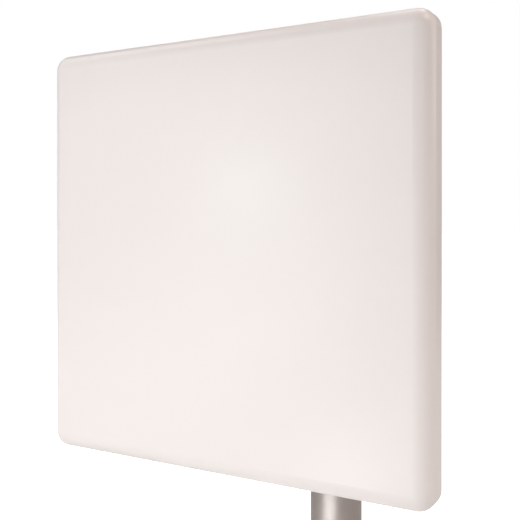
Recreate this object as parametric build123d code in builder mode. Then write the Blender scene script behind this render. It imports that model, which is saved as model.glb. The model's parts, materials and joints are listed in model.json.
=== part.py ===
"""Flat panel antenna on an articulating mast bracket.

Frame: millimetres, +Z up along the mast. The origin is on the mast's axis, at its lower end. At rest the
panel's front face looks along -Y. Four bodies move: the mast, the clamp that turns round it, the knuckle
that turns on the clamp's upright bolt, and the panel, which tilts on the knuckle.
"""

from build123d import *
from math import cos, hypot, radians, sin, tan
import os

# ---------------------------------------------------------------- driving dimensions
PANEL_SIZE = 371.0          # width and height of the radome: the 14.6 in class
PANEL_DEPTH = 25.6          # 1 in class
CORNER_RADIUS = 14.5        # plan corners of the radome
FRONT_EDGE_RADIUS = 14.0    # rounding between the radome's face and its sides
RADOME_WALL = 3.0

PANEL_X = -33.2             # panel centre, seen from the mast axis
PANEL_FRONT_Y = -170.8
PANEL_Z = 330.0

MAST_DIAMETER = 50.8        # 2 in tube
MAST_WALL = 2.0
MAST_LENGTH = 460.0

CAST_EDGE = 1.2             # rounding on the rims of the castings
BODY_GAP = 0.3              # between faces of two bodies that move past each other
PIVOT_CLEARANCE = 0.08      # radial, bolt in a pivot hole

M8 = {"radius": 4.0, "flats": 13.0, "nut": 6.5, "head": 5.3, "washer": 8.0, "washer_height": 1.6}
M10 = {"radius": 5.0, "flats": 16.0, "nut": 8.4, "head": 6.4, "washer": 10.0, "washer_height": 2.0}

# ---------------------------------------------------------------- stack inside the panel, from its front face
PLATE_RECESS = 2.0          # the rear plate sits this far inside the radome's rim
PLATE_THICKNESS = 2.5
GASKET_THICKNESS = 1.5
LEDGE_THICKNESS = 4.0
LEDGE_WIDTH = 14.0
FEED_HEIGHT = 6.0           # air gap between the rear plate and the feed network
SHEET_THICKNESS = 0.8
PATCH_HEIGHT = 6.5          # air gap between the feed network and the patches over it

plate_back = PANEL_DEPTH - PLATE_RECESS
plate_front = plate_back - PLATE_THICKNESS
ledge_back = plate_front - GASKET_THICKNESS
feed_back = plate_front - FEED_HEIGHT
feed_front = feed_back - SHEET_THICKNESS
patch_back = feed_front - PATCH_HEIGHT
patch_front = patch_back - SHEET_THICKNESS
cavity_size = PANEL_SIZE - 2 * RADOME_WALL
cavity_radius = CORNER_RADIUS - RADOME_WALL
plate_size = cavity_size - 0.8
plate_radius = cavity_radius - 0.4

# cover screws run round the ledge
SCREW_INSET = 13.5
BOSS_ROOT = 0.5             # a boss starts this far inside the radome's front wall
BOSS_HOLE = 13.0
screw_line = PANEL_SIZE / 2 - SCREW_INSET
screw_points = [(x * screw_line, z * screw_line / 2) for x in (-1, 1) for z in range(-2, 3)]
screw_points += [(x * screw_line / 2, z * screw_line) for x in (-1, 0, 1) for z in (-1, 1)]

# radiating patches
PATCH_PITCH = 84.0
FED_PATCH = 44.0
UPPER_PATCH = 52.0
FEED_STRIP = 3.0
POST_RADIUS = 4.5
POST_NECK = 2.5
POST_TIP = 1.5
TIP_LENGTH = 2.0            # post tip in front of the upper patch
CLIP_THICKNESS = 1.2

# connector, on the panel's upright centre line
CONNECTOR_DROP = 118.0      # below the panel's centre
FLANGE_SIZE = 25.4
FLANGE_THICKNESS = 2.5
FLANGE_SCREWS = 18.2
FLANGE_GASKET = 0.8
THREAD_RADIUS = 7.94        # 5/8 in thread
THREAD_LENGTH = 10.7
SOCKET_RADIUS = 4.05

# ---------------------------------------------------------------- mount
STUDS_ACROSS = 70.0
STUDS_UP = 110.0
BASE_WIDTH = 96.0
BASE_HEIGHT = 136.0
BASE_THICKNESS = 5.0
EAR_INSIDE = 22.0           # from the panel's centre plane to an ear's inner face
EAR_THICKNESS = 6.0
TILT_REACH = 38.0           # rear plate to tilt axis
KNUCKLE_REACH = 40.0        # tilt axis to upright knuckle axis
TILT_LIMIT = 30.0           # degrees each way
LOCK_RADIUS = 30.0          # tilt axis to lock bolt

tilt_depth = plate_back + TILT_REACH
knuckle_depth = tilt_depth + KNUCKLE_REACH
knuckle_y = PANEL_FRONT_Y + knuckle_depth
arm_length = hypot(PANEL_X, knuckle_y)
arm_x = PANEL_X / arm_length
arm_y = knuckle_y / arm_length
EAR_OUTSIDE = EAR_INSIDE + EAR_THICKNESS
CHEEK_THICKNESS = 6.0
CLEARANCE_HOLE = 4.4        # radius of a plain hole for an M8 stud or leg
LOCK_WASHER_HEIGHT = 2.0
LOCK_WASHER_WIDTH = 3.0
CHEEK_OUTSIDE = EAR_INSIDE - BODY_GAP
WEB_BACK = knuckle_depth - 17.6
WEB_THICKNESS = 6.0
WEB_HEIGHT = 56.0
WEB_RISE = 11.0             # the web's middle above the tilt axis
BARREL_RADIUS = 14.0
BARREL_HALF = 20.0
CLEVIS_THICKNESS = 6.0
CLEVIS_RADIUS = 15.0

mast_radius = MAST_DIAMETER / 2
BRACKET_FRONT = 36.0        # mast axis to the clamp plate
BRACKET_THICKNESS = 6.0
BRACKET_WIDTH = 80.0
BRACKET_HEIGHT = 104.0
BOLT_LEVEL = 38.0           # U-bolts above and below the panel's centre
U_BEND = mast_radius + BODY_GAP + M8["radius"]
U_LEG = 57.0
JAW_HEIGHT = 16.0
JAW_WIDTH = 76.0
JAW_BACK = 21.0
JAW_HALF_ANGLE = 60.0       # each jaw face from the arm's direction
TOOTH_DEPTH = 0.9
TEETH = 7

os.makedirs("parts", exist_ok=True)


# ---------------------------------------------------------------- planes
def behind(depth):
    """Plane parallel to the panel, this far behind its front face, drawn as seen from the back."""
    return Plane(origin=(PANEL_X, PANEL_FRONT_Y + depth, PANEL_Z), x_dir=(-1, 0, 0), z_dir=(0, 1, 0))


def beside(across):
    """Upright plane square to the panel: local x is the depth behind the front face, local y is up."""
    return Plane(origin=(PANEL_X + across, PANEL_FRONT_Y, PANEL_Z), x_dir=(0, 1, 0), z_dir=(1, 0, 0))


def knuckle_level(height):
    """Level plane through the knuckle's upright axis."""
    return Plane(origin=(PANEL_X, knuckle_y, PANEL_Z + height), x_dir=(1, 0, 0), z_dir=(0, 0, 1))


def arm_level(height):
    """Level plane on the mast's axis, its local y along the arm towards the knuckle."""
    return Plane(origin=(0, 0, PANEL_Z + height), x_dir=(arm_y, -arm_x, 0), z_dir=(0, 0, 1))


def across_arm(distance):
    """Upright plane square to the arm, this far from the mast's axis, facing the knuckle."""
    centre = (arm_x * distance, arm_y * distance, PANEL_Z)
    return Plane(origin=centre, x_dir=(-arm_y, arm_x, 0), z_dir=(arm_x, arm_y, 0))


def save(name, label):
    """Name a finished piece and write its STEP file."""
    name.part.label = label
    export_step(name.part, f"parts/{label}.step")


# ---------------------------------------------------------------- fasteners, made once on XY and then placed
def hex_blank(size, height):
    """Hexagon prism standing on XY with its upper corners turned down."""
    corner = size["flats"] / 2 / cos(radians(30))
    with BuildPart() as blank:
        with BuildSketch():
            RegularPolygon(corner, 6)
        extrude(amount=height)
        with BuildPart(mode=Mode.PRIVATE) as turned:
            Cylinder(corner, height, align=(Align.CENTER, Align.CENTER, Align.MIN))
            chamfer(turned.edges().sort_by(Axis.Z)[-1:], length=0.9, length2=1.1)
        add(turned.part, mode=Mode.INTERSECT)
    return blank


def hex_nut(size):
    """Nut resting on XY."""
    blank = hex_blank(size, size["nut"])
    with BuildPart() as nut:
        add(blank.part)
        with BuildSketch():
            Circle(size["radius"] + 0.02)
        extrude(amount=size["nut"], mode=Mode.SUBTRACT)
    return nut


def hex_bolt(size, length):
    """Bolt whose head rests on XY from above, with its shank hanging down."""
    blank = hex_blank(size, size["head"])
    with BuildPart() as bolt:
        add(blank.part)
        with BuildSketch():
            Circle(size["radius"])
        extrude(amount=-length)
        chamfer(bolt.edges().sort_by(Axis.Z)[0], length=0.8)
    return bolt


def washer(size):
    """Flat washer resting on XY."""
    with BuildPart() as ring:
        with BuildSketch():
            Circle(size["washer"])
            Circle(size["radius"] + 0.2, mode=Mode.SUBTRACT)
        extrude(amount=size["washer_height"])
        chamfer(ring.edges().group_by(Axis.Z)[-1].sort_by(SortBy.RADIUS)[-1], length=0.3)
    return ring


def lock_washer(size):
    """Spring washer: a square-section ring with one slanting cut."""
    inside = size["radius"] + 0.2
    with BuildPart() as ring:
        with BuildSketch():
            Circle(inside + LOCK_WASHER_WIDTH)
            Circle(inside, mode=Mode.SUBTRACT)
        extrude(amount=LOCK_WASHER_HEIGHT)
        with BuildSketch(Plane.XZ):
            with Locations((inside + LOCK_WASHER_WIDTH / 2, LOCK_WASHER_HEIGHT / 2)):
                Rectangle(0.9, 2 * LOCK_WASHER_HEIGHT, rotation=20)
        extrude(amount=-12.0, mode=Mode.SUBTRACT)
    return ring


def pan_screw(head_radius, head_height, shank_radius, length):
    """Pan-head screw whose head rests on XY from above, with a cross recess."""
    with BuildPart() as screw:
        with BuildSketch():
            Circle(head_radius)
        extrude(amount=head_height)
        fillet(screw.edges().sort_by(Axis.Z)[-1], head_height * 0.55)
        with BuildSketch():
            Circle(shank_radius)
        extrude(amount=-length)
        with BuildSketch(Plane.XY.offset(head_height)):
            Rectangle(head_radius * 1.15, head_radius * 0.26)
            Rectangle(head_radius * 0.26, head_radius * 1.15)
        extrude(amount=-head_height * 0.6, mode=Mode.SUBTRACT)
    return screw


def copies(template, plane, points):
    """The same piece standing on one plane at several points."""
    with BuildPart() as group:
        with Locations(plane):
            with Locations(*points):
                add(template.part)
    return group


def cast_wall(plane, corners, thickness):
    """Wall of a casting: a polygon with rounded corners, each (x, y, radius), and rounded rims."""
    with BuildPart() as wall:
        with BuildSketch(plane) as outline:
            Polygon(*[(x, y) for x, y, radius in corners], align=None)
            for x, y, radius in corners:
                fillet(outline.vertices().sort_by_distance((x, y))[0], radius)
        extrude(amount=thickness)
        flats = wall.faces().filter_by(GeomType.PLANE).sort_by(SortBy.AREA)[-2:]
        fillet(flats.edges(), CAST_EDGE)
    return wall


# ================================================================ panel
# radome: one moulded shell, open at the back, with a ledge and screw bosses inside
with BuildPart() as radome:
    with BuildSketch(behind(0)):
        RectangleRounded(PANEL_SIZE, PANEL_SIZE, CORNER_RADIUS)
    extrude(amount=PANEL_DEPTH)
    fillet(radome.faces().sort_by(Axis.Y)[0].edges(), FRONT_EDGE_RADIUS)
    offset(amount=-RADOME_WALL, openings=radome.faces().sort_by(Axis.Y)[-1])
    with BuildSketch(behind(ledge_back - LEDGE_THICKNESS)):
        RectangleRounded(cavity_size + 1, cavity_size + 1, cavity_radius + 0.5)
        RectangleRounded(cavity_size - 2 * LEDGE_WIDTH, cavity_size - 2 * LEDGE_WIDTH, 4, mode=Mode.SUBTRACT)
    extrude(amount=LEDGE_THICKNESS)
    with BuildSketch(behind(RADOME_WALL - BOSS_ROOT)):
        with Locations(*screw_points):
            Circle(5.0)
    extrude(amount=ledge_back - RADOME_WALL + BOSS_ROOT)
    with BuildSketch(behind(ledge_back)):
        with Locations(*screw_points):
            Circle(2.05)
    extrude(amount=-BOSS_HOLE, mode=Mode.SUBTRACT)
    chamfer(radome.faces().sort_by(Axis.Y)[-1].outer_wire().edges(), length=0.6)
save(radome, "radome")

# gasket between the ledge and the rear plate
with BuildPart() as radome_gasket:
    with BuildSketch(behind(ledge_back)):
        RectangleRounded(plate_size, plate_size, plate_radius)
        RectangleRounded(plate_size - 2 * LEDGE_WIDTH + 2, plate_size - 2 * LEDGE_WIDTH + 2, 5, mode=Mode.SUBTRACT)
        with Locations(*screw_points):
            Circle(2.4, mode=Mode.SUBTRACT)
    extrude(amount=GASKET_THICKNESS)
save(radome_gasket, "radome_gasket")

# rear plate: cover, reflector and carrier of everything else
stud_points = [(x * STUDS_ACROSS / 2, z * STUDS_UP / 2) for x in (-1, 1) for z in (-1, 1)]
connector_point = (0, -CONNECTOR_DROP)
flange_points = [(x * FLANGE_SCREWS / 2, z * FLANGE_SCREWS / 2 - CONNECTOR_DROP) for x in (-1, 1) for z in (-1, 1)]
vent_point = (62, -150)
with BuildPart() as rear_plate:
    with BuildSketch(behind(plate_front)):
        RectangleRounded(plate_size, plate_size, plate_radius)
        with Locations(*screw_points):
            Circle(2.2, mode=Mode.SUBTRACT)
        with Locations(*stud_points):
            Circle(4.05, mode=Mode.SUBTRACT)
        with Locations(connector_point):
            Circle(5.0, mode=Mode.SUBTRACT)
        with Locations(*flange_points):
            Circle(1.55, mode=Mode.SUBTRACT)
        with Locations(vent_point):
            Circle(5.1, mode=Mode.SUBTRACT)
    extrude(amount=PLATE_THICKNESS)
save(rear_plate, "rear_plate")

save(copies(pan_screw(4.0, 2.6, 2.0, 14.0), behind(plate_back), screw_points), "cover_screws")

# feed network: 16 fed patches and the strips that share the signal between them, cut from one sheet
patch_points = [(x * PATCH_PITCH, z * PATCH_PITCH) for x in (-1.5, -0.5, 0.5, 1.5) for z in (-1.5, -0.5, 0.5, 1.5)]
with BuildPart() as feed_network:
    with BuildSketch(behind(feed_front)):
        with Locations(*patch_points):
            Rectangle(FED_PATCH, FED_PATCH)
        with GridLocations(2 * PATCH_PITCH, 2 * PATCH_PITCH, 2, 2):
            Rectangle(PATCH_PITCH + FEED_STRIP, FEED_STRIP)
            with GridLocations(PATCH_PITCH, 0, 2, 1):
                Rectangle(FEED_STRIP, PATCH_PITCH - FED_PATCH + 2)
        with GridLocations(2 * PATCH_PITCH, 0, 2, 1):
            Rectangle(FEED_STRIP * 1.5, 2 * PATCH_PITCH)
        Rectangle(2 * PATCH_PITCH, FEED_STRIP * 1.5)
        with Locations((0, -CONNECTOR_DROP / 2)):
            Rectangle(FEED_STRIP * 2, CONNECTOR_DROP)
        with Locations(connector_point):
            Circle(5.0)
            Circle(0.85, mode=Mode.SUBTRACT)    # the connector's pin is soldered in here
        with Locations(*patch_points):
            Circle(POST_NECK + 0.1, mode=Mode.SUBTRACT)
    extrude(amount=SHEET_THICKNESS)
save(feed_network, "feed_network")

with BuildPart() as upper_patches:
    with BuildSketch(behind(patch_front)):
        with Locations(*patch_points):
            RectangleRounded(UPPER_PATCH, UPPER_PATCH, 1.5)
            Circle(POST_TIP + 0.1, mode=Mode.SUBTRACT)
    extrude(amount=SHEET_THICKNESS)
save(upper_patches, "upper_patches")

# stepped nylon posts carry the fed patches on one shoulder and the upper patches on the next
with BuildPart() as patch_posts:
    with BuildSketch(behind(feed_back)):
        with Locations(*patch_points):
            Circle(POST_RADIUS)
    extrude(amount=FEED_HEIGHT)
    with BuildSketch(behind(patch_back)):
        with Locations(*patch_points):
            Circle(POST_NECK)
    extrude(amount=feed_back - patch_back)
    with BuildSketch(behind(patch_front - TIP_LENGTH)):
        with Locations(*patch_points):
            Circle(POST_TIP)
    extrude(amount=patch_back - patch_front + TIP_LENGTH)
save(patch_posts, "patch_posts")

with BuildPart() as patch_clips:
    with BuildSketch(behind(patch_front - CLIP_THICKNESS)):
        with Locations(*patch_points):
            Circle(4.0)
            Circle(POST_TIP + 0.05, mode=Mode.SUBTRACT)
    extrude(amount=CLIP_THICKNESS)
save(patch_clips, "patch_clips")

# ---------------------------------------------------------------- connector
flange_front = plate_back + FLANGE_GASKET
flange_back = flange_front + FLANGE_THICKNESS
thread_end = flange_back + THREAD_LENGTH
socket_floor = flange_back + 1.6
insulator_end = socket_floor + 2.0
spigot_front = plate_front + 0.5
PIN_RADIUS = 0.8
SLEEVE_RADIUS = 1.52

with BuildPart() as connector_gasket:
    with BuildSketch(behind(plate_back)):
        with Locations(connector_point):
            RectangleRounded(FLANGE_SIZE, FLANGE_SIZE, 1.5)
            Circle(5.2, mode=Mode.SUBTRACT)
        with Locations(*flange_points):
            Circle(1.7, mode=Mode.SUBTRACT)
    extrude(amount=FLANGE_GASKET)
save(connector_gasket, "connector_gasket")

with BuildPart() as connector_body:
    with BuildSketch(behind(flange_front)):
        with Locations(connector_point):
            RectangleRounded(FLANGE_SIZE, FLANGE_SIZE, 1.5)
        with Locations(*flange_points):
            Circle(1.6, mode=Mode.SUBTRACT)
    extrude(amount=FLANGE_THICKNESS)
    with BuildSketch(behind(flange_back)):
        with Locations(connector_point):
            Circle(THREAD_RADIUS)
    extrude(amount=THREAD_LENGTH)
    with BuildSketch(behind(spigot_front)):
        with Locations(connector_point):
            Circle(4.6)
    extrude(amount=flange_front - spigot_front)
    with BuildSketch(behind(plate_front)):
        with Locations(connector_point):
            Circle(3.3)
    extrude(amount=thread_end - plate_front, mode=Mode.SUBTRACT)
    with BuildSketch(behind(socket_floor)):
        with Locations(connector_point):
            Circle(SOCKET_RADIUS)
    extrude(amount=thread_end - socket_floor, mode=Mode.SUBTRACT)
save(connector_body, "connector_body")

with BuildPart() as connector_insulator:
    with BuildSketch(behind(feed_back)):
        with Locations(connector_point):
            Circle(3.25)
    extrude(amount=socket_floor - feed_back)
    with BuildSketch(behind(socket_floor)):
        with Locations(connector_point):
            Circle(SOCKET_RADIUS - 0.05)
    extrude(amount=insulator_end - socket_floor)
    with BuildSketch(behind(feed_back)):
        with Locations(connector_point):
            Circle(PIN_RADIUS + 0.05)
    extrude(amount=insulator_end - feed_back, mode=Mode.SUBTRACT)
save(connector_insulator, "connector_insulator")

with BuildPart() as connector_contact:
    with BuildSketch(behind(feed_front - SHEET_THICKNESS)):
        with Locations(connector_point):
            Circle(PIN_RADIUS)
    extrude(amount=insulator_end - feed_front + SHEET_THICKNESS)
    with BuildSketch(behind(insulator_end)):
        with Locations(connector_point):
            Circle(SLEEVE_RADIUS)
            Circle(0.83, mode=Mode.SUBTRACT)
    extrude(amount=2.6)
    with BuildSketch(behind(insulator_end)):
        with Locations(connector_point):
            Circle(SLEEVE_RADIUS)
    extrude(amount=0.4)
save(connector_contact, "connector_contact")

save(copies(pan_screw(2.8, 1.9, 1.5, 6.5), behind(flange_back), flange_points), "connector_screws")

# breather plug: lets water vapour out of the panel
VENT_CAP = 3.5
VENT_STEM = 3.0             # stem beyond the rear plate, inside the panel
with BuildPart() as vent_plug:
    with BuildSketch(behind(plate_back)):
        with Locations(vent_point):
            Circle(8.0)
    extrude(amount=VENT_CAP)
    fillet(vent_plug.faces().sort_by(Axis.Y)[-1].edges(), 1.2)
    with BuildSketch(behind(plate_front - VENT_STEM)):
        with Locations(vent_point):
            Circle(5.0)
    extrude(amount=PLATE_THICKNESS + VENT_STEM)
    with BuildSketch(behind(plate_back + VENT_CAP)):
        with Locations(vent_point):
            with PolarLocations(4.2, 6):
                Circle(0.8)
    extrude(amount=-1.5, mode=Mode.SUBTRACT)
    with BuildSketch(behind(plate_front - VENT_STEM)):
        with Locations(vent_point):
            Circle(3.2)
    extrude(amount=PLATE_THICKNESS + VENT_STEM, mode=Mode.SUBTRACT)
save(vent_plug, "vent_plug")

with BuildPart() as rear_label:
    with BuildSketch(behind(plate_back)):
        with Locations((-105, -130)):
            RectangleRounded(64, 38, 3)
    extrude(amount=0.2)
save(rear_label, "rear_label")

# ---------------------------------------------------------------- studs that carry the bracket
STUD_HEAD = 1.5             # pressed head in front of the rear plate
STUD_TAIL = 3.0             # thread left beyond the nut
base_back = plate_back + BASE_THICKNESS
nut_seat = base_back + M8["washer_height"] + LOCK_WASHER_HEIGHT
with BuildPart() as mounting_studs:
    with BuildSketch(behind(plate_front - STUD_HEAD)):
        with Locations(*stud_points):
            Circle(8.0)
    extrude(amount=STUD_HEAD)
    with BuildSketch(behind(plate_front)):
        with Locations(*stud_points):
            Circle(M8["radius"])
    extrude(amount=nut_seat + M8["nut"] + STUD_TAIL - plate_front)
    chamfer(mounting_studs.faces().group_by(Axis.Y)[-1].edges(), length=0.8)
save(mounting_studs, "mounting_studs")

save(copies(washer(M8), behind(base_back), stud_points), "stud_washers")
save(copies(lock_washer(M8), behind(base_back + M8["washer_height"]), stud_points), "stud_lock_washers")
save(copies(hex_nut(M8), behind(nut_seat), stud_points), "stud_nuts")

# ================================================================ panel bracket
# cast plate with two ears; each ear has the pivot hole and a curved slot round it
slot_half = M8["radius"] + BODY_GAP
slot_end = (LOCK_RADIUS * sin(radians(TILT_LIMIT)), LOCK_RADIUS * cos(radians(TILT_LIMIT)))
TICK_STEP = 10
EAR_FOOT_RADIUS = 2.5
ear_corners = [
    (plate_back + 0.4, -38, 2),
    (tilt_depth + 9, -11, 12),
    (tilt_depth + 28, 25, 10),
    (tilt_depth + 18, 41, 10),
    (plate_back + 0.4, 41, 2),
]
ears = [cast_wall(beside(side), ear_corners, EAR_THICKNESS) for side in (-EAR_OUTSIDE, EAR_INSIDE)]
with BuildPart() as panel_bracket:
    with BuildSketch(behind(plate_back)):
        RectangleRounded(BASE_WIDTH, BASE_HEIGHT, 9)
    extrude(amount=BASE_THICKNESS)
    fillet(panel_bracket.faces().sort_by(Axis.Y)[-1].edges(), 1.2)
    for ear in ears:
        add(ear.part)
    ear_feet = panel_bracket.edges().filter_by(
        lambda e: abs(e.center().Y - PANEL_FRONT_Y - base_back) < 0.01
        and abs(e.center().X - PANEL_X) < EAR_OUTSIDE + 1
    )
    fillet(ear_feet, EAR_FOOT_RADIUS)
    with BuildSketch(behind(plate_back)):
        with Locations(*stud_points):
            Circle(CLEARANCE_HOLE)
    extrude(amount=BASE_THICKNESS, mode=Mode.SUBTRACT)
    with BuildSketch(beside(-EAR_OUTSIDE)):
        with Locations((tilt_depth, 0)):
            Circle(M8["radius"] + PIVOT_CLEARANCE)
        with BuildLine():
            outer = CenterArc((tilt_depth, 0), LOCK_RADIUS + slot_half, 90 - TILT_LIMIT, 2 * TILT_LIMIT)
            inner = CenterArc((tilt_depth, 0), LOCK_RADIUS - slot_half, 90 - TILT_LIMIT, 2 * TILT_LIMIT)
            Line(outer @ 0, inner @ 0)
            Line(outer @ 1, inner @ 1)
        make_face()
        with Locations((tilt_depth + slot_end[0], slot_end[1]), (tilt_depth - slot_end[0], slot_end[1])):
            Circle(slot_half)
    extrude(amount=2 * EAR_OUTSIDE, mode=Mode.SUBTRACT)
    # tilt scale: a groove every ten degrees outside the slot on both ears
    for side, inward in ((-EAR_OUTSIDE, 0.4), (EAR_OUTSIDE, -0.4)):
        with BuildSketch(beside(side)):
            for angle in range(-int(TILT_LIMIT), int(TILT_LIMIT) + 1, TICK_STEP):
                radius = LOCK_RADIUS + slot_half + 3.0
                tick = (tilt_depth + radius * sin(radians(angle)), radius * cos(radians(angle)))
                with Locations(tick):
                    Rectangle(0.6, 3.2, rotation=-angle)
        extrude(amount=inward, mode=Mode.SUBTRACT)
save(panel_bracket, "panel_bracket")

# ================================================================ knuckle
# casting with two cheeks for the tilt bolts and an upright barrel for the azimuth bolt
cheek_corners = [
    (tilt_depth - 13.5, -8, 11),
    (tilt_depth - 4, -14.5, 11),
    (WEB_BACK - 0.2, WEB_RISE - WEB_HEIGHT / 2, 2),
    (WEB_BACK - 0.2, WEB_RISE + WEB_HEIGHT / 2, 2),
    (tilt_depth - 10, 39.5, 8),
]
cheek_sides = (-CHEEK_OUTSIDE, CHEEK_OUTSIDE - CHEEK_THICKNESS)
cheeks = [cast_wall(beside(side), cheek_corners, CHEEK_THICKNESS) for side in cheek_sides]
web_half = (CHEEK_OUTSIDE - 2, WEB_HEIGHT / 2 - 1.5)
web_corners = [(x * web_half[0], WEB_RISE + x * z * web_half[1], 2) for x in (-1, 1) for z in (1, -1)]
web = cast_wall(behind(WEB_BACK - WEB_THICKNESS), web_corners, WEB_THICKNESS)
with BuildPart() as knuckle:
    with BuildSketch(knuckle_level(-BARREL_HALF)):
        Circle(BARREL_RADIUS)
    extrude(amount=2 * BARREL_HALF)
    chamfer(knuckle.edges(), length=0.8)
    with BuildSketch(knuckle_level(-BARREL_HALF + 3)):
        with Locations((0, WEB_BACK - knuckle_depth)):
            Rectangle(34, 2)
        Circle(BARREL_RADIUS - 3)
        make_hull()
    extrude(amount=2 * BARREL_HALF - 6)
    add([web.part, *(cheek.part for cheek in cheeks)])
    with BuildSketch(beside(-CHEEK_OUTSIDE)):
        with Locations((tilt_depth, 0), (tilt_depth, LOCK_RADIUS)):
            Circle(M8["radius"] + PIVOT_CLEARANCE)
    extrude(amount=2 * CHEEK_OUTSIDE, mode=Mode.SUBTRACT)
    with BuildSketch(knuckle_level(-BARREL_HALF)):
        Circle(M10["radius"] + PIVOT_CLEARANCE)
    extrude(amount=2 * BARREL_HALF, mode=Mode.SUBTRACT)
save(knuckle, "knuckle")

# tilt bolts run right through both ears; heads on +X, nuts on -X
washer_seat = EAR_OUTSIDE + BODY_GAP
head_seat = washer_seat + M8["washer_height"]
TILT_BOLT_LENGTH = 72.0


def facing(side, across):
    """Upright plane beside the knuckle whose normal points away from the panel's centre plane."""
    centre = (PANEL_X + side * across, PANEL_FRONT_Y + tilt_depth, PANEL_Z)
    return Plane(origin=centre, x_dir=(0, 1, 0), z_dir=(side, 0, 0))


for label, height in (("tilt_pivot", 0), ("tilt_lock", LOCK_RADIUS)):
    save(copies(hex_bolt(M8, TILT_BOLT_LENGTH), facing(1, head_seat), [(0, height)]), f"{label}_bolt")
    save(copies(hex_nut(M8), facing(-1, head_seat), [(0, -height)]), f"{label}_nut")
    with BuildPart() as washer_pair:
        with Locations(facing(1, washer_seat)):
            with Locations((0, height)):
                add(washer(M8).part)
        with Locations(facing(-1, washer_seat)):
            with Locations((0, -height)):
                add(washer(M8).part)
    save(washer_pair, f"{label}_washers")

# ================================================================ mast clamp
clevis_inside = BARREL_HALF + BODY_GAP
clevis_outside = clevis_inside + CLEVIS_THICKNESS
bracket_back = BRACKET_FRONT + BRACKET_THICKNESS
leg_points = [(x * U_BEND, z * BOLT_LEVEL) for x in (-1, 1) for z in (-1, 1)]

# casting: a plate across the arm, a clevis for the knuckle and a rib over and under it
clamp_corners = [(x * BRACKET_WIDTH / 2, x * z * BRACKET_HEIGHT / 2, 9) for x in (-1, 1) for z in (1, -1)]
clamp_plate = cast_wall(across_arm(BRACKET_FRONT), clamp_corners, BRACKET_THICKNESS)
clevis_corners = [
    (-22, BRACKET_FRONT + 0.2, 2),
    (22, BRACKET_FRONT + 0.2, 2),
    (13.6, arm_length + 14.25, 13),
    (-13.6, arm_length + 14.25, 13),
]
clevis_levels = (clevis_inside, -clevis_outside)
clevis_plates = [cast_wall(arm_level(level), clevis_corners, CLEVIS_THICKNESS) for level in clevis_levels]
with BuildPart() as mast_bracket:
    add([clamp_plate.part, *(plate.part for plate in clevis_plates)])
    plate_face = across_arm(bracket_back)
    near_clevis = mast_bracket.edges().filter_by(
        lambda e: abs(plate_face.to_local_coords(e.center()).Z) < 0.01
        and abs(plate_face.to_local_coords(e.center()).X) < 24
        and abs(e.center().Z - PANEL_Z) < clevis_outside + 1
    )
    fillet(near_clevis, 2.5)
    with BuildSketch(Plane(origin=(0, 0, PANEL_Z), x_dir=(arm_x, arm_y, 0), z_dir=(arm_y, -arm_x, 0))):
        for up in (-1, 1):
            with BuildLine():
                Polyline(
                    (bracket_back - 1, up * (clevis_outside - 1)),
                    (bracket_back + 20, up * (clevis_outside - 1)),
                    (bracket_back - 1, up * (BRACKET_HEIGHT / 2 - 4)),
                    close=True,
                )
            make_face()
    extrude(amount=3.0, both=True)
    with BuildSketch(across_arm(BRACKET_FRONT)):
        with Locations(*leg_points):
            Circle(CLEARANCE_HOLE)
    extrude(amount=BRACKET_THICKNESS, mode=Mode.SUBTRACT)
    with BuildSketch(arm_level(-clevis_outside)):
        with Locations((0, arm_length)):
            Circle(M10["radius"] + PIVOT_CLEARANCE)
    extrude(amount=2 * clevis_outside, mode=Mode.SUBTRACT)
save(mast_bracket, "mast_bracket")

# toothed jaws between the plate and the mast
jaw_apex = (mast_radius + BODY_GAP) / sin(radians(JAW_HALF_ANGLE))
notch_half = (jaw_apex - JAW_BACK) * tan(radians(JAW_HALF_ANGLE))
tooth_out = (cos(radians(JAW_HALF_ANGLE)) * TOOTH_DEPTH, sin(radians(JAW_HALF_ANGLE)) * TOOTH_DEPTH)
right_teeth = []
for step in range(TEETH):
    tip = (step + 0.5) / TEETH
    root = (step + 1) / TEETH
    right_teeth.append((notch_half * tip, jaw_apex + (JAW_BACK - jaw_apex) * tip))
    right_teeth.append((notch_half * root + tooth_out[0], jaw_apex + (JAW_BACK - jaw_apex) * root + tooth_out[1]))
left_teeth = [(-x, y) for x, y in reversed(right_teeth)]
with BuildPart() as v_jaws:
    for level in (-BOLT_LEVEL, BOLT_LEVEL):
        with BuildSketch(arm_level(level - JAW_HEIGHT / 2)):
            with Locations((0, (JAW_BACK + BRACKET_FRONT) / 2)):
                RectangleRounded(JAW_WIDTH, BRACKET_FRONT - JAW_BACK, 2.0)
            with BuildLine():
                Polyline(
                    (-notch_half - 1, JAW_BACK - 2),
                    *left_teeth,
                    (0, jaw_apex + TOOTH_DEPTH),
                    *right_teeth,
                    (notch_half + 1, JAW_BACK - 2),
                    close=True,
                )
            make_face(mode=Mode.SUBTRACT)
        extrude(amount=JAW_HEIGHT)
    with BuildSketch(across_arm(JAW_BACK)):
        with Locations(*leg_points):
            Circle(CLEARANCE_HOLE)
    extrude(amount=BRACKET_FRONT - JAW_BACK, mode=Mode.SUBTRACT)
save(v_jaws, "v_jaws")

# U-bolts round the back of the mast
with BuildPart() as u_bolts:
    for level in (-BOLT_LEVEL, BOLT_LEVEL):
        with BuildLine(arm_level(level)) as path:
            Line((-U_BEND, U_LEG), (-U_BEND, 0))
            ThreePointArc((-U_BEND, 0), (0, -U_BEND), (U_BEND, 0))
            Line((U_BEND, 0), (U_BEND, U_LEG))
        with BuildSketch(across_arm(U_LEG)):
            with Locations((-U_BEND, level)):
                Circle(M8["radius"])
        sweep(path=path.wires()[0])
    chamfer(u_bolts.faces().filter_by(GeomType.PLANE).edges(), length=0.8)
save(u_bolts, "u_bolts")

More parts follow.
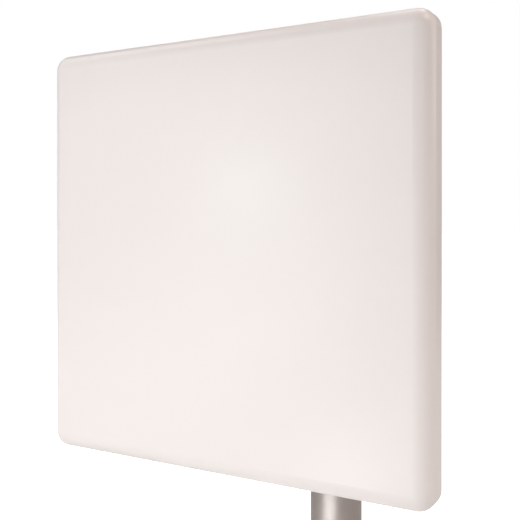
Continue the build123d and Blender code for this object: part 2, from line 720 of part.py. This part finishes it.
save(copies(washer(M8), across_arm(bracket_back), leg_points), "u_bolt_washers")
lock_seat = bracket_back + M8["washer_height"]
save(copies(lock_washer(M8), across_arm(lock_seat), leg_points), "u_bolt_lock_washers")
save(copies(hex_nut(M8), across_arm(lock_seat + LOCK_WASHER_HEIGHT), leg_points), "u_bolt_nuts")

# azimuth bolt: upright, head below, nut on top
AZIMUTH_BOLT_LENGTH = 70.0
azimuth_seat = clevis_outside + M10["washer_height"]
under_clevis = Plane(origin=(PANEL_X, knuckle_y, PANEL_Z - clevis_outside), x_dir=(1, 0, 0), z_dir=(0, 0, -1))
azimuth_head = under_clevis.offset(M10["washer_height"])
save(copies(hex_bolt(M10, AZIMUTH_BOLT_LENGTH), azimuth_head, [(0, 0)]), "azimuth_bolt")
save(copies(hex_nut(M10), knuckle_level(azimuth_seat), [(0, 0)]), "azimuth_nut")
with BuildPart() as azimuth_washers:
    with Locations(under_clevis):
        add(washer(M10).part)
    with Locations(knuckle_level(clevis_outside)):
        add(washer(M10).part)
save(azimuth_washers, "azimuth_washers")

# ================================================================ mast
with BuildPart() as mast_tube:
    with BuildSketch():
        Circle(mast_radius)
        Circle(mast_radius - MAST_WALL, mode=Mode.SUBTRACT)
    extrude(amount=MAST_LENGTH)
save(mast_tube, "mast_tube")

CAP_WALL = 1.8
CAP_SKIRT = 20.0
with BuildPart() as mast_cap:
    with BuildSketch(Plane.XY.offset(MAST_LENGTH - CAP_SKIRT)):
        Circle(mast_radius + CAP_WALL)
    extrude(amount=CAP_SKIRT + CAP_WALL)
    fillet(mast_cap.edges().sort_by(Axis.Z)[-1], 1.5)
    with BuildSketch(Plane.XY.offset(MAST_LENGTH - CAP_SKIRT)):
        Circle(mast_radius + 0.05)
    extrude(amount=CAP_SKIRT, mode=Mode.SUBTRACT)
save(mast_cap, "mast_cap")
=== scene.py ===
"""The looks of the flat panel antenna: procedural materials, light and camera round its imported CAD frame."""

import json
import math

import bmesh
import bpy
from mathutils import Matrix, Vector


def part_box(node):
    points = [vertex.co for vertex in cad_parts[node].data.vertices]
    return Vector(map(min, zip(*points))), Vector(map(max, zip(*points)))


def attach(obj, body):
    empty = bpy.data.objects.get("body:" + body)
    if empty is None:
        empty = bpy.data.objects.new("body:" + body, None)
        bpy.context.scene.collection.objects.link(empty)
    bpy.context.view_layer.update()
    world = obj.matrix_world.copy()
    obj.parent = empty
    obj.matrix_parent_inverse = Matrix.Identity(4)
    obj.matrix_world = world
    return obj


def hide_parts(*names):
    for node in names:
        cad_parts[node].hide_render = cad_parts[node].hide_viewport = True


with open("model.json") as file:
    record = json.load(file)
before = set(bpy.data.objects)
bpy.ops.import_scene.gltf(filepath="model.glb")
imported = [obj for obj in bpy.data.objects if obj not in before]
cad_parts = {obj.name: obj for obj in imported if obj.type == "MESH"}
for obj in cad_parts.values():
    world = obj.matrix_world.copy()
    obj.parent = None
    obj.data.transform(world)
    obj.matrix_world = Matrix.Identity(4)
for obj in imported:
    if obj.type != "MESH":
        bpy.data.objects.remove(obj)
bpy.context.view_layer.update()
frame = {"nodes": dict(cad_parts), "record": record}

MM = 0.001


# ---------------------------------------------------------------- places taken from the frame
def middle(node):
    """Centre of a CAD node's box."""
    low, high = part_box(node)
    return (Vector(low) + Vector(high)) / 2


radome_low, radome_high = (Vector(corner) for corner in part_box("radome"))
panel_size = radome_high.x - radome_low.x
face_centre = Vector(((radome_low.x + radome_high.x) / 2, radome_low.y, (radome_low.z + radome_high.z) / 2))

# ---------------------------------------------------------------- camera
CAMERA_OFFSET = Vector((0.9716, -1.4726, 0.0762))   # from the middle of the panel's face, in panel sizes
CAMERA_TURN = 30.07                                 # degrees to the left of straight ahead
CAMERA_LENS = 54.34                                 # mm on a 36 mm sensor
CAMERA_DROP = -0.0745                               # vertical shift, in frame widths


def add_camera():
    data = bpy.data.cameras.new("camera")
    data.sensor_width = 36.0
    data.lens = CAMERA_LENS
    data.shift_y = CAMERA_DROP
    data.clip_start = 0.01
    data.clip_end = 100.0
    camera = bpy.data.objects.new("camera", data)
    camera.location = face_centre + CAMERA_OFFSET * panel_size
    camera.rotation_euler = (math.radians(90), 0, math.radians(CAMERA_TURN))
    bpy.context.scene.collection.objects.link(camera)
    bpy.context.scene.camera = camera


# ---------------------------------------------------------------- material helpers
class Surface:
    """A node material under construction: a Principled shader and the nodes that feed it."""

    def __init__(self, name):
        self.material = bpy.data.materials.new(name)
        self.material.use_nodes = True
        self.tree = self.material.node_tree
        self.shader = self.tree.nodes["Principled BSDF"]
        self.place = self.add("ShaderNodeTexCoord").outputs["Object"]

    def add(self, kind, inputs=None, **settings):
        """A new node with its settings, and inputs given as values or as sockets to link."""
        node = self.tree.nodes.new(kind)
        for key, value in settings.items():
            setattr(node, key, value)
        for key, value in (inputs or {}).items():
            if isinstance(value, bpy.types.NodeSocket):
                self.tree.links.new(value, node.inputs[key])
            else:
                node.inputs[key].default_value = value
        return node

    def set(self, **inputs):
        """Inputs of the Principled shader, with spaces written as underscores."""
        for key, value in inputs.items():
            socket = self.shader.inputs[key.replace("_", " ")]
            if isinstance(value, bpy.types.NodeSocket):
                self.tree.links.new(value, socket)
            else:
                socket.default_value = value

    def stretched(self, scale):
        """Object coordinates scaled along each axis."""
        return self.add("ShaderNodeMapping", {"Vector": self.place, "Scale": scale}).outputs["Vector"]

    def noise(self, scale, detail=2.0, roughness=0.5, vector=None):
        """Noise in 0 to 1 at this many waves per metre."""
        inputs = {"Vector": vector or self.place, "Scale": scale, "Detail": detail, "Roughness": roughness}
        return self.add("ShaderNodeTexNoise", inputs).outputs["Fac"]

    def spread(self, factor, low, high, start=0.3, end=0.7):
        """Factor mapped from start..end to low..high."""
        inputs = {"Value": factor, "From Min": start, "From Max": end, "To Min": low, "To Max": high}
        return self.add("ShaderNodeMapRange", inputs).outputs["Result"]

    def blend(self, factor, first, second):
        """Colour between first and second."""
        mix = self.add("ShaderNodeMix", data_type="RGBA")
        self.tree.links.new(factor, mix.inputs["Factor"])
        mix.inputs[6].default_value = (*first, 1)
        mix.inputs[7].default_value = (*second, 1)
        return mix.outputs[2]

    def bump(self, height, distance, strength=1.0, normal=None):
        """Bump from a height field; distance is its depth in metres."""
        inputs = {"Height": height, "Distance": distance, "Strength": strength}
        if normal is not None:
            inputs["Normal"] = normal
        return self.add("ShaderNodeBump", inputs).outputs["Normal"]


def radome_plastic():
    s = Surface("radome_plastic")
    cloud = s.noise(9.0, 2.0)
    s.set(
        Base_Color=s.blend(cloud, (0.855, 0.784, 0.776), (0.875, 0.802, 0.794)),
        Roughness=s.spread(s.noise(14.0, 2.0), 0.27, 0.31, 0.0, 1.0),
        Normal=s.bump(s.noise(900.0, 3.0), 0.000012, 1.0, s.bump(s.noise(55.0, 2.0), 0.00006)),
        IOR=1.5,
    )
    return s.material


def mast_metal():
    s = Surface("mast_metal")
    streaks = s.noise(1.0, 4.0, 0.6, s.stretched((900.0, 900.0, 14.0)))
    cloud = s.noise(30.0, 3.0)
    s.set(
        Base_Color=s.blend(s.spread(cloud, 0.0, 1.0), (0.392, 0.341, 0.323), (0.430, 0.374, 0.356)),
        Metallic=1.0,
        Roughness=s.spread(streaks, 0.42, 0.48),
        Normal=s.bump(streaks, 0.00001),
    )
    return s.material


def brushed_plate():
    s = Surface("plate_aluminium")
    lines = s.noise(1.0, 3.0, 0.6, s.stretched((3.0, 3.0, 2200.0)))
    cloud = s.noise(6.0, 2.0)
    s.set(
        Base_Color=s.blend(cloud, (0.66, 0.665, 0.675), (0.74, 0.745, 0.75)),
        Metallic=1.0,
        Roughness=s.spread(lines, 0.34, 0.44),
        Normal=s.bump(lines, 0.000006),
    )
    return s.material


def powder_coat():
    s = Surface("cast_alloy")
    speckle = s.noise(1400.0, 2.0)
    s.set(
        Base_Color=s.blend(s.spread(s.noise(25.0, 3.0), 0.0, 1.0), (0.36, 0.365, 0.37), (0.42, 0.425, 0.43)),
        Roughness=s.spread(speckle, 0.42, 0.56),
        Normal=s.bump(speckle, 0.00006, 1.0, s.bump(s.noise(260.0, 2.0), 0.00008)),
    )
    return s.material


def bare_casting():
    s = Surface("jaw_alloy")
    grain = s.noise(700.0, 4.0, 0.65)
    s.set(
        Base_Color=s.blend(s.spread(grain, 0.0, 1.0), (0.46, 0.465, 0.47), (0.6, 0.605, 0.61)),
        Metallic=0.9,
        Roughness=s.spread(grain, 0.42, 0.62),
        Normal=s.bump(grain, 0.00012),
    )
    return s.material


def plated(name, dark, light, rough, waves=180.0):
    """Plated or turned metal, slightly mottled."""
    s = Surface(name)
    cloud = s.noise(waves, 4.0, 0.6)
    s.set(
        Base_Color=s.blend(s.spread(cloud, 0.0, 1.0), dark, light),
        Metallic=1.0,
        Roughness=s.spread(s.noise(waves * 2.5, 3.0), rough[0], rough[1]),
        Normal=s.bump(s.noise(waves * 6.0, 2.0), 0.000012),
    )
    return s.material


def plain_polymer(name, dark, light, rough, grain=1200.0, depth=0.00003):
    """Moulded or turned polymer with a fine grain."""
    s = Surface(name)
    fine = s.noise(grain, 3.0)
    s.set(
        Base_Color=s.blend(s.spread(s.noise(40.0, 3.0), 0.0, 1.0), dark, light),
        Roughness=s.spread(fine, rough[0], rough[1]),
        Normal=s.bump(fine, depth),
    )
    return s.material


def printed_label():
    """Foil label with a thin frame and plain bars where printing would be."""
    s = Surface("label_foil")
    low, high = (Vector(corner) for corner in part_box("rear_label"))
    centre = (low + high) / 2
    place = s.add("ShaderNodeSeparateXYZ", {"Vector": s.place}).outputs

    def step(operation, first, second=0.0):
        return s.add("ShaderNodeMath", {0: first, 1: second}, operation=operation).outputs[0]

    across = step("DIVIDE", step("SUBTRACT", place["X"], centre.x), (high.x - low.x) / 2)
    up = step("DIVIDE", step("SUBTRACT", place["Z"], centre.z), (high.z - low.z) / 2)
    wide = step("ABSOLUTE", across)
    tall = step("ABSOLUTE", up)
    outside = step("MAXIMUM", step("GREATER_THAN", wide, 0.94), step("GREATER_THAN", tall, 0.90))
    border = step("MAXIMUM", step("GREATER_THAN", wide, 0.925), step("GREATER_THAN", tall, 0.875))
    rows = step("MULTIPLY", up, 4.5)
    length = s.add("ShaderNodeTexWhiteNoise", {"W": step("FLOOR", rows)}, noise_dimensions="1D").outputs["Value"]
    bar_end = step("MULTIPLY_ADD", length, 1.1)
    bar_end.node.inputs[2].default_value = -0.4
    bars = step("MULTIPLY", step("LESS_THAN", step("FRACT", rows), 0.32), step("LESS_THAN", tall, 0.66))
    bars = step("MULTIPLY", bars, step("LESS_THAN", step("MULTIPLY", across, -1.0), bar_end))
    bars = step("MULTIPLY", bars, step("LESS_THAN", wide, 0.78))
    ink = step("MAXIMUM", bars, step("SUBTRACT", border, outside))
    grain = s.noise(500.0, 3.0)
    s.set(
        Base_Color=s.blend(ink, (0.78, 0.78, 0.77), (0.10, 0.10, 0.11)),
        Roughness=s.spread(grain, 0.34, 0.42),
        Normal=s.bump(grain, 0.000008),
    )
    return s.material


def make_materials():
    """One finished material for each of the record's slots."""
    return {
        "radome_plastic": radome_plastic(),
        "mast_metal": mast_metal(),
        "plate_aluminium": brushed_plate(),
        "patch_aluminium": plated("patch_aluminium", (0.7, 0.7, 0.71), (0.78, 0.78, 0.79), (0.28, 0.4), 60.0),
        "cast_alloy": powder_coat(),
        "jaw_alloy": bare_casting(),
        "zinc_fastener": plated("zinc_fastener", (0.55, 0.56, 0.57), (0.70, 0.71, 0.72), (0.24, 0.40)),
        "stainless_fastener": plated("stainless_fastener", (0.56, 0.55, 0.53), (0.66, 0.65, 0.63), (0.2, 0.32)),
        "nickel_plate": plated("nickel_plate", (0.68, 0.65, 0.6), (0.74, 0.71, 0.66), (0.14, 0.24)),
        "contact_gold": plated("contact_gold", (0.83, 0.6, 0.24), (0.9, 0.68, 0.32), (0.16, 0.26)),
        "feed_brass": plated("feed_brass", (0.72, 0.5, 0.22), (0.82, 0.6, 0.3), (0.25, 0.4), 60.0),
        "nylon": plain_polymer("nylon", (0.74, 0.71, 0.63), (0.8, 0.77, 0.7), (0.42, 0.52)),
        "ptfe": plain_polymer("ptfe", (0.84, 0.84, 0.82), (0.88, 0.88, 0.87), (0.35, 0.45)),
        "dark_plastic": plain_polymer("dark_plastic", (0.022, 0.022, 0.024), (0.032, 0.032, 0.034), (0.45, 0.6)),
        "seal_rubber": plain_polymer("seal_rubber", (0.012, 0.012, 0.012), (0.02, 0.02, 0.02), (0.6, 0.75)),
        "label_foil": printed_label(),
    }


def paint_nodes():
    """Each CAD node gets the finished material of its slot."""
    for name, obj in frame["nodes"].items():
        obj.data.materials.clear()
        obj.data.materials.append(materials[slots[name]])


# ---------------------------------------------------------------- threaded fasteners and connector
ROUND = 48                  # points round a rod or thread; a multiple of six, for hexagon heads
BEND_STEPS = 40             # rings along a U-bolt's bend
SHARP_ANGLE = 32.0          # degrees between faces that look like an edge


def upright(origin, axis, side):
    """Frame with its Z along axis and its X towards side."""
    z = Vector(axis).normalized()
    x = (Vector(side) - z * Vector(side).dot(z)).normalized()
    turn = Matrix((x, z.cross(x), z)).transposed().to_4x4()
    return Matrix.Translation(Vector(origin)) @ turn


class Turned:
    """A mesh put together from turned shapes, given in metres in a frame of their own."""

    def __init__(self):
        self.points = []
        self.faces = []

    def ring(self, place, height, radius_at):
        """Index of the first point of a ring at this height, whose radius depends on the angle."""
        first = len(self.points)
        for step in range(ROUND):
            angle = 2 * math.pi * step / ROUND
            radius = radius_at(angle)
            self.points.append(place @ Vector((radius * math.cos(angle), radius * math.sin(angle), height)))
        return first

    def join(self, low, high):
        """Faces between two rings."""
        for step in range(ROUND):
            after = (step + 1) % ROUND
            self.faces.append((low + step, low + after, high + after, high + step))

    def turn(self, place, rows, open_start=False):
        """Closed shape through rows of (height, radius), where a radius is a number or a function of the angle."""
        rings = []
        for height, radius in rows:
            rings.append(self.ring(place, height, radius if callable(radius) else lambda angle, r=radius: r))
        for low, high in zip(rings, rings[1:]):
            self.join(low, high)
        if not open_start:
            self.faces.append(tuple(reversed(range(rings[0], rings[0] + ROUND))))
        self.faces.append(tuple(range(rings[-1], rings[-1] + ROUND)))

    def hexagon(self, place, flats, height):
        """Hexagon head standing on the frame's XY, with its upper corners turned down."""
        def six(angle):
            return flats / 2 / math.cos((angle % (math.pi / 3)) - math.pi / 6)
        corner = flats / 2 / math.cos(math.pi / 6)
        rows = [(0.0, flats * 0.475), (0.4 * MM, flats * 0.475), (0.4 * MM, six)]
        for share in (0.0, 0.25, 0.5, 0.75, 1.0):
            limit = corner - share * (corner - flats * 0.46)
            rows.append((height - (1 - share) * 1.2 * MM, lambda angle, r=limit: min(r, six(angle))))
        self.turn(place, rows)

    def thread(self, place, radius, pitch, start, end, chamfer=0.8 * MM):
        """Right-hand thread between two heights, with its far end turned down."""
        core = radius - 0.6 * pitch
        profile = ((0.06, core), (0.44, radius), (0.56, radius), (0.94, core))
        turns = int((end - start) / pitch) + 2
        grid = {}
        for row in range(4 * turns):
            phase, r = profile[row % 4]
            for step in range(ROUND + 1):
                height = start + pitch * (row // 4 - 1 + phase + step / ROUND)
                held = min(max(height, start), end)
                angle = 2 * math.pi * step / ROUND
                width = min(r, radius - max(0.0, held - (end - chamfer)))
                if held != height:
                    width = min(width, core)
                grid[row, step] = (len(self.points), height)
                self.points.append(place @ Vector((width * math.cos(angle), width * math.sin(angle), held)))
        for row in range(4 * turns - 1):
            for step in range(ROUND):
                around = [grid[row, step], grid[row, step + 1], grid[row + 1, step + 1], grid[row + 1, step]]
                if any(start < height < end for index, height in around):
                    self.faces.append(tuple(index for index, height in around))
        return core

    def rod(self, place, radius, pitch, start, thread_from, end, open_start=False):
        """Round rod whose last stretch is threaded."""
        core = radius - 0.6 * pitch
        self.turn(place, [(start, radius), (thread_from, radius), (thread_from + pitch / 2, core)], open_start)
        self.thread(place, radius, pitch, thread_from, end)
        self.turn(place, [(thread_from, core - 0.1 * MM), (end - 0.01 * MM, core - 0.1 * MM)])

    def bend(self, centre, radius, rod_radius, side, back):
        """Half ring of rod round an upright axis, from +side round by back to -side."""
        rings = []
        for step in range(BEND_STEPS + 1):
            angle = math.pi * step / BEND_STEPS
            out = side * math.cos(angle) + back * math.sin(angle)
            first = len(self.points)
            for corner in range(ROUND):
                tilt = 2 * math.pi * corner / ROUND
                lift = Vector((0, 0, rod_radius * math.sin(tilt)))
                self.points.append(centre + out * (radius + rod_radius * math.cos(tilt)) + lift)
            rings.append(first)
        for low, high in zip(rings, rings[1:]):
            self.join(low, high)

    def finish(self, node):
        """The mesh as an object that stands for this CAD node."""
        mesh = bpy.data.meshes.new(node + "_detailed")
        mesh.from_pydata(self.points, [], self.faces)
        return stand_in(bpy.data.objects.new(node + "_detailed", mesh), node)


def stand_in(obj, node):
    """Clean normals, the node's finish and the node's body for a piece that replaces it."""
    mesh = obj.data
    shape = bmesh.new()
    shape.from_mesh(mesh)
    bmesh.ops.remove_doubles(shape, verts=shape.verts, dist=0.001 * MM)
    bmesh.ops.dissolve_degenerate(shape, edges=shape.edges, dist=0.001 * MM)
    bmesh.ops.recalc_face_normals(shape, faces=shape.faces)
    shape.to_mesh(mesh)
    shape.free()
    mesh.shade_smooth()
    mesh.set_sharp_from_angle(angle=math.radians(SHARP_ANGLE))
    mesh.materials.clear()
    mesh.materials.append(materials[slots[node]])
    bpy.context.scene.collection.objects.link(obj)
    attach(obj, bodies_of[node])
    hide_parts(node)
    return obj


M8 = {"radius": 4.0 * MM, "pitch": 1.25 * MM, "flats": 13.0 * MM, "head": 5.3 * MM}
M10 = {"radius": 5.0 * MM, "pitch": 1.5 * MM, "flats": 16.0 * MM, "head": 6.4 * MM}
SIDEWAYS = Vector((1, 0, 0))
BACK = Vector((0, 1, 0))
UP = Vector((0, 0, 1))

TILT_THREAD = 22.0 * MM     # length of thread on the tilt bolts, from the tip
AZIMUTH_THREAD = 26.0 * MM
STUD_HEAD_RADIUS = 8.0 * MM
STUD_HEAD_HEIGHT = 1.5 * MM
STUD_THREAD_FROM = 9.0 * MM
MAST_TO_ROD = 0.3 * MM      # gap between the mast and a U-bolt's bend
LEG_LENGTH = 57.0 * MM
LEG_THREAD_FROM = 29.0 * MM
BARREL_RADIUS = 7.94 * MM   # the connector's 5/8 in thread
BARREL_PITCH = 1.058 * MM
BARREL_LENGTH = 10.7 * MM
BARREL_CHAMFER = 0.8 * MM


def hex_bolt(node, size, head_end, towards_tip, corner, thread_length):
    """Hexagon bolt from the outer face of its head to its tip."""
    low, high = (Vector(end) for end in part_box(node))
    length = abs((high - low).dot(towards_tip))
    seat = head_end + towards_tip * size["head"]
    bolt = Turned()
    bolt.hexagon(upright(seat, -towards_tip, corner), size["flats"], size["head"])
    shank = length - size["head"]
    bolt.rod(upright(seat, towards_tip, corner), size["radius"], size["pitch"], 0.0, shank - thread_length, shank)
    bolt.finish(node)


def add_tilt_bolts():
    for node in ("tilt_pivot_bolt", "tilt_lock_bolt"):
        centre = middle(node)
        head_end = Vector((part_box(node)[1][0], centre.y, centre.z))
        hex_bolt(node, M8, head_end, -SIDEWAYS, BACK, TILT_THREAD)


def add_azimuth_bolt():
    centre = middle("azimuth_bolt")
    head_end = Vector((centre.x, centre.y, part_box("azimuth_bolt")[0][2]))
    hex_bolt("azimuth_bolt", M10, head_end, UP, SIDEWAYS, AZIMUTH_THREAD)


def add_studs():
    """Pressed studs: a flat head in front of the rear plate and thread behind it."""
    low, high = (Vector(end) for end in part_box("mounting_studs"))
    head = STUD_HEAD_RADIUS
    studs = Turned()
    for x in (low.x + head, high.x - head):
        for z in (low.z + head, high.z - head):
            place = upright((x, low.y, z), BACK, SIDEWAYS)
            studs.turn(place, [(0.0, head), (STUD_HEAD_HEIGHT, head)])
            studs.rod(place, M8["radius"], M8["pitch"], 1.4 * MM, STUD_THREAD_FROM, high.y - low.y)
    studs.finish("mounting_studs")


def add_u_bolts():
    """Two bent rods round the back of the mast, threaded where the nuts run."""
    low, high = (Vector(end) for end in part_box("u_bolts"))
    knuckle_axis = middle("azimuth_bolt")
    arm = Vector((knuckle_axis.x, knuckle_axis.y, 0)).normalized()
    side = arm.cross(UP)
    bend_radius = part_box("mast_tube")[1][0] + MAST_TO_ROD + M8["radius"]
    rods = Turned()
    for level in (low.z + M8["radius"], high.z - M8["radius"]):
        centre = Vector((0, 0, level))
        rods.bend(centre, bend_radius, M8["radius"], side, -arm)
        for way in (-1, 1):
            place = upright(centre + side * way * bend_radius, arm, UP)
            rods.rod(place, M8["radius"], M8["pitch"], 0.0, LEG_THREAD_FROM, LEG_LENGTH, open_start=True)
    rods.finish("u_bolts")


def add_connector():
    """The connector's body with its thread cut round the barrel."""
    source = frame["nodes"]["connector_body"]
    mesh = source.data.copy()
    centre = middle("connector_body")
    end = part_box("connector_body")[1][1]
    start = end - BARREL_LENGTH
    shape = bmesh.new()
    shape.from_mesh(mesh)

    def out(point):
        return math.hypot(point.x - centre.x, point.z - centre.z)

    plain_wall = [face for face in shape.faces if abs(face.normal.y) < 0.2
                  and all(abs(out(v.co) - BARREL_RADIUS) < 0.05 * MM for v in face.verts)]
    bmesh.ops.delete(shape, geom=plain_wall, context="FACES")
    for v in shape.verts:
        if v.co.y > end - 0.01 * MM and out(v.co) > BARREL_RADIUS - 0.05 * MM:
            share = (BARREL_RADIUS - BARREL_CHAMFER) / out(v.co)
            v.co.x = centre.x + (v.co.x - centre.x) * share
            v.co.z = centre.z + (v.co.z - centre.z) * share
    shape.to_mesh(mesh)
    shape.free()
    jack = Turned()
    jack.points = [v.co.copy() for v in mesh.vertices]
    jack.faces = [tuple(face.vertices) for face in mesh.polygons]
    place = upright((centre.x, start, centre.z), BACK, SIDEWAYS)
    jack.thread(place, BARREL_RADIUS, BARREL_PITCH, 0.0, BARREL_LENGTH)
    jack.finish("connector_body")


# ---------------------------------------------------------------- floor, world and lights
WHITE = (1.0, 1.0, 1.0)
FLOOR_SIZE = 40.0
FLOOR_GLOW = 1.0            # what the camera sees of the floor, over its own shading
FLOOR_PALE = 0.82           # how much light the floor gives back
WORLD_FILL = 0.18           # what lights and reflections get of the white surroundings

# name: (azimuth in degrees, distance along the floor, height, size, watts, aim), in metres from the face's centre line
# azimuth 0 is straight in front of the face and 90 is on its right
LIGHTS = {
    "right_high": (90, 1.41, 2.02, 1.2, 16.7, "panel"),
    "left_high": (-75, 1.41, 2.02, 1.2, 8.2, "panel"),
    "front_left": (-30, 2.07, 1.08, 1.2, 7.8, "panel"),
    "left": (-60, 2.07, 1.08, 1.2, 3.7, "panel"),
    "left_low": (-28, 1.40, 0.26, 0.5, 2.0, "level"),
    "floor_left": (-26, 0.90, 0.60, 0.6, 2.75, "down"),
    "floor_right": (40, 0.90, 0.60, 0.6, 2.1, "down"),
    "overhead": (180, 0.70, 2.20, 1.2, 7.4, "down"),
    "back_right": (120, 2.07, 1.08, 1.2, 4.6, "panel"),
    "back": (-155, 2.07, 1.08, 1.2, 6.0, "panel"),
    "rim": (166.6, 1.10, 2.42, 0.18, 3.0, "panel"),
    "face_glow": (-26, 0.333, 0.410, 0.06, 0.039, "panel"),
    "low_glow": (-2, 0.306, 0.060, 0.10, 0.100, "panel"),
}
COOL = (1.0, 1.12, 1.06)
TINTS = {
    "right_high": (1.0, 0.86, 0.72),
    "left_low": COOL,
    "low_glow": COOL,
    "face_glow": COOL,
    "mast_glint": (1.0, 1.07, 1.12),
}

# a small card low in front of the mast gives the tube its upright highlight
GLINT_PLACE = Vector((-0.005, -0.155, 0.035))
GLINT_WIDTH = 0.125
GLINT_HEIGHT = 0.05
GLINT_WATTS = 0.070


def camera_only(tree, seen, unseen):
    """Mix of two shaders: what the camera sees directly, and what lights and reflections get."""
    rays = tree.nodes.new("ShaderNodeLightPath")
    mix = tree.nodes.new("ShaderNodeMixShader")
    tree.links.new(rays.outputs["Is Camera Ray"], mix.inputs["Fac"])
    tree.links.new(unseen, mix.inputs[1])
    tree.links.new(seen, mix.inputs[2])
    return mix.outputs["Shader"]


def add_floor():
    """Plain pale floor."""
    mesh = bpy.data.meshes.new("floor")
    half = FLOOR_SIZE / 2
    mesh.from_pydata([(-half, -half, 0), (half, -half, 0), (half, half, 0), (-half, half, 0)], [], [(0, 1, 2, 3)])
    floor = bpy.data.objects.new("floor", mesh)
    bpy.context.scene.collection.objects.link(floor)
    material = bpy.data.materials.new("floor")
    material.use_nodes = True
    tree = material.node_tree
    matt = tree.nodes["Principled BSDF"]
    matt.inputs["Roughness"].default_value = 0.9
    matt.inputs["Base Color"].default_value = (FLOOR_PALE, FLOOR_PALE, FLOOR_PALE, 1)
    bright = tree.nodes.new("ShaderNodeEmission")
    bright.inputs["Color"].default_value = (*WHITE, 1)
    bright.inputs["Strength"].default_value = FLOOR_GLOW
    both = tree.nodes.new("ShaderNodeAddShader")
    tree.links.new(matt.outputs["BSDF"], both.inputs[0])
    tree.links.new(bright.outputs["Emission"], both.inputs[1])
    seen = camera_only(tree, both.outputs["Shader"], matt.outputs["BSDF"])
    tree.links.new(seen, tree.nodes["Material Output"].inputs["Surface"])
    mesh.materials.append(material)


def add_world():
    """White behind the object; a softer grey for what lights and reflects in it."""
    world = bpy.data.worlds.new("studio")
    world.use_nodes = True
    bpy.context.scene.world = world
    tree = world.node_tree
    soft = tree.nodes["Background"]
    bright = tree.nodes.new("ShaderNodeBackground")
    for background, strength in ((soft, WORLD_FILL), (bright, 1.0)):
        background.inputs["Color"].default_value = (*WHITE, 1)
        background.inputs["Strength"].default_value = strength
    seen = camera_only(tree, bright.outputs["Background"], soft.outputs["Background"])
    tree.links.new(seen, tree.nodes["World Output"].inputs["Surface"])


def area_light(name, place, towards, width, height, watts):
    """Rectangular light that the camera doesn't see."""
    data = bpy.data.lights.new(name, "AREA")
    data.color = TINTS.get(name, WHITE)
    data.shape = "RECTANGLE"
    data.size = width
    data.size_y = height
    data.energy = watts
    light = bpy.data.objects.new(name, data)
    light.location = place
    light.rotation_euler = (-towards).to_track_quat("Z", "Y").to_euler()
    light.visible_camera = False
    bpy.context.scene.collection.objects.link(light)


def add_lights():
    for name, (azimuth, distance, height, size, watts, aim) in LIGHTS.items():
        turn = math.radians(azimuth)
        out = Vector((math.sin(turn), -math.cos(turn), 0))
        place = Vector((face_centre.x, face_centre.y, 0)) + out * distance + UP * height
        towards = {"panel": face_centre - place, "level": -out, "down": -UP}[aim]
        area_light(name, place, towards, size, size, watts)
    area_light("mast_glint", GLINT_PLACE, BACK, GLINT_WIDTH, GLINT_HEIGHT, GLINT_WATTS)


# ---------------------------------------------------------------- the scene
bpy.context.scene.view_settings.view_transform = "Standard"
add_camera()
add_floor()
add_world()
add_lights()
materials = make_materials()
slots = {part["node"]: part["material_slot"] for part in frame["record"]["subparts"]}
bodies_of = {node: body for body, nodes in frame["record"]["behaviour"]["bodies"].items() for node in nodes}
paint_nodes()
add_tilt_bolts()
add_azimuth_bolt()
add_studs()
add_u_bolts()
add_connector()
